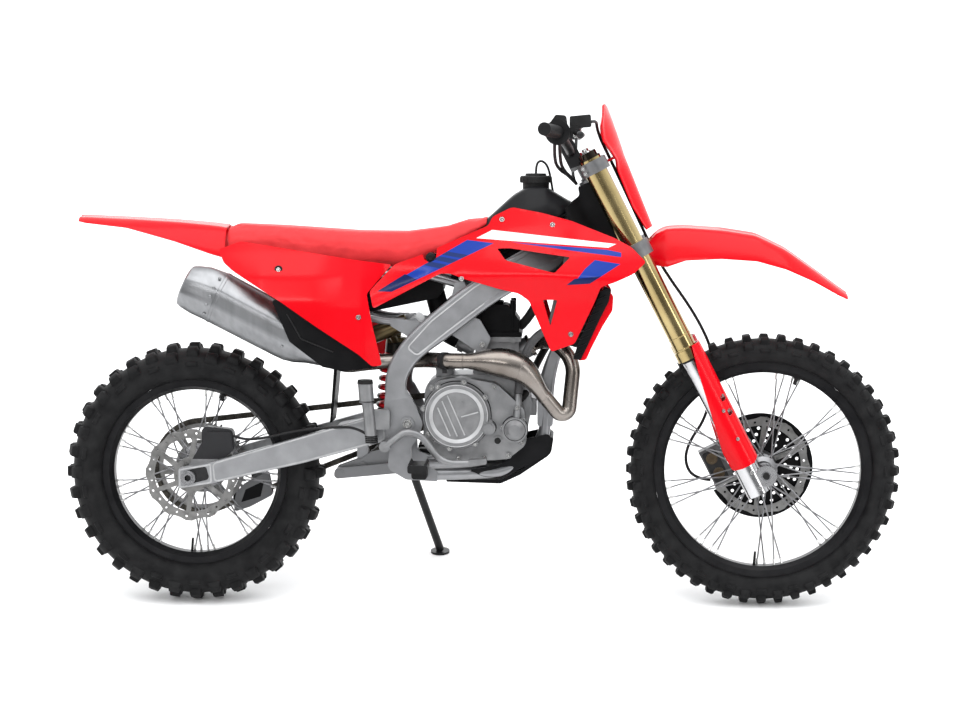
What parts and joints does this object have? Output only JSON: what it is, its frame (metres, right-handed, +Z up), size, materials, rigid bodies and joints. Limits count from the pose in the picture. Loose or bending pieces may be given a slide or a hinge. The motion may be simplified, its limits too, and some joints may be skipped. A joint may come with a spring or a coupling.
{
  "type": "motocross bike",
  "caption": "Off-road competition motorcycle leaning on its side stand, with steering fork, spinning spoked wheels, knobbly tyres and folding stand.",
  "frame": {"origin": "middle of the overall box, at the ground", "axes": "+X forwards, +Y to the rider's left, +Z up; the bike leans to its left on the side stand"},
  "size_m": [2.1708, 0.807, 1.2963],
  "materials": {
    "frame_alloy": "satin cast and extruded alloy",
    "subframe_alloy": "satin alloy tube",
    "swingarm_alloy": "brushed alloy",
    "axle_steel": "plated steel",
    "shock_metal": "painted spring and alloy body",
    "case_alloy": "grey cast alloy",
    "cover_alloy": "cast alloy cover",
    "cylinder_alloy": "cast alloy",
    "cover_black": "black coated alloy",
    "header_metal": "heat-tinted pipe",
    "muffler_metal": "brushed metal",
    "guard_black": "black plastic",
    "radiator_alloy": "alloy core and tanks",
    "tank_black": "black moulded plastic",
    "seat_vinyl": "red gripper vinyl",
    "shroud_red": "red gloss plastic",
    "panel_red": "red gloss plastic",
    "fender_red": "red gloss plastic",
    "box_black": "black plastic",
    "skid_black": "black plastic",
    "peg_steel": "cast steel",
    "pedal_alloy": "forged alloy",
    "brake_alloy": "cast alloy",
    "chain_steel": "oiled steel",
    "guide_black": "black plastic",
    "clamp_alloy": "machined alloy",
    "fork_gold": "gold anodised alloy",
    "fork_chrome": "hard chrome leg and cast lug",
    "fork_guard_red": "red gloss plastic",
    "front_fender_red": "red gloss plastic",
    "plate_red": "red gloss plastic",
    "bar_alloy": "dark anodised alloy",
    "grip_rubber": "black rubber",
    "lever_alloy": "forged alloy",
    "front_caliper_alloy": "cast alloy",
    "disc_guard_black": "black plastic",
    "front_axle_steel": "plated steel",
    "hose_black": "black hose",
    "cable_black": "black cable sheath",
    "front_tyre_rubber": "black rubber",
    "front_rim_black": "black alloy rim",
    "front_hub_alloy": "alloy hub, steel spokes",
    "front_disc_steel": "ground steel",
    "rear_tyre_rubber": "black rubber",
    "rear_rim_black": "black alloy rim",
    "rear_hub_alloy": "alloy hub, steel spokes",
    "rear_disc_steel": "ground steel",
    "sprocket_alloy": "hard anodised alloy",
    "stand_steel": "black painted steel"
  },
  "bodies": {
    "chassis": {"main_frame": "frame_alloy", "subframe": "subframe_alloy", "swingarm": "swingarm_alloy", "rear_axle": "axle_steel", "shock": "shock_metal", "crankcase": "case_alloy", "clutch_cover": "cover_alloy", "cylinder": "cylinder_alloy", "head_cover": "cover_black", "exhaust_header": "header_metal", "muffler": "muffler_metal", "heat_guard": "guard_black", "radiators": "radiator_alloy", "fuel_tank": "tank_black", "seat": "seat_vinyl", "shrouds": "shroud_red", "side_panels": "panel_red", "rear_fender": "fender_red", "air_box": "box_black", "skid_plate": "skid_black", "footpegs": "peg_steel", "foot_controls": "pedal_alloy", "rear_brake": "brake_alloy", "drive_chain": "chain_steel", "chain_guides": "guide_black"},
    "steering": {"triple_clamps": "clamp_alloy", "fork_tubes": "fork_gold", "fork_sliders": "fork_chrome", "fork_guards": "fork_guard_red", "front_fender": "front_fender_red", "number_plate": "plate_red", "handlebar": "bar_alloy", "grips": "grip_rubber", "hand_controls": "lever_alloy", "front_caliper": "front_caliper_alloy", "front_disc_guard": "disc_guard_black", "front_axle": "front_axle_steel", "front_brake_hose": "hose_black", "control_cables": "cable_black"},
    "front_wheel": {"front_tyre": "front_tyre_rubber", "front_rim": "front_rim_black", "front_hub": "front_hub_alloy", "front_disc": "front_disc_steel"},
    "rear_wheel": {"rear_tyre": "rear_tyre_rubber", "rear_rim": "rear_rim_black", "rear_hub": "rear_hub_alloy", "rear_disc": "rear_disc_steel", "rear_sprocket": "sprocket_alloy"},
    "side_stand": {"side_stand": "stand_steel"}
  },
  "joints": [
    {"name": "steering", "type": "hinge", "parent": "chassis", "child": "steering", "pos_m": [0.30435, -0.0292, 1.04202], "axis": [-0.4574, 0.1544, 0.8757], "range_deg": [-38, 38], "deforming": ["control_cables"]},
    {"name": "front_wheel_spin", "type": "hinge", "parent": "steering", "child": "front_wheel", "pos_m": [0.73102, -0.15124, 0.35004], "axis": [0.0001, 0.9848, -0.1736], "continuous": true},
    {"name": "rear_wheel_spin", "type": "hinge", "parent": "chassis", "child": "rear_wheel", "pos_m": [-0.74538, -0.15354, 0.3365], "axis": [0.0001, 0.9848, -0.1736], "continuous": true},
    {"name": "side_stand_fold", "type": "hinge", "parent": "chassis", "child": "side_stand", "pos_m": [-0.21139, 0.00293, 0.34871], "axis": [-0.1577, 0.9863, 0.0493], "range_deg": [0, 143.5]}
  ]
}
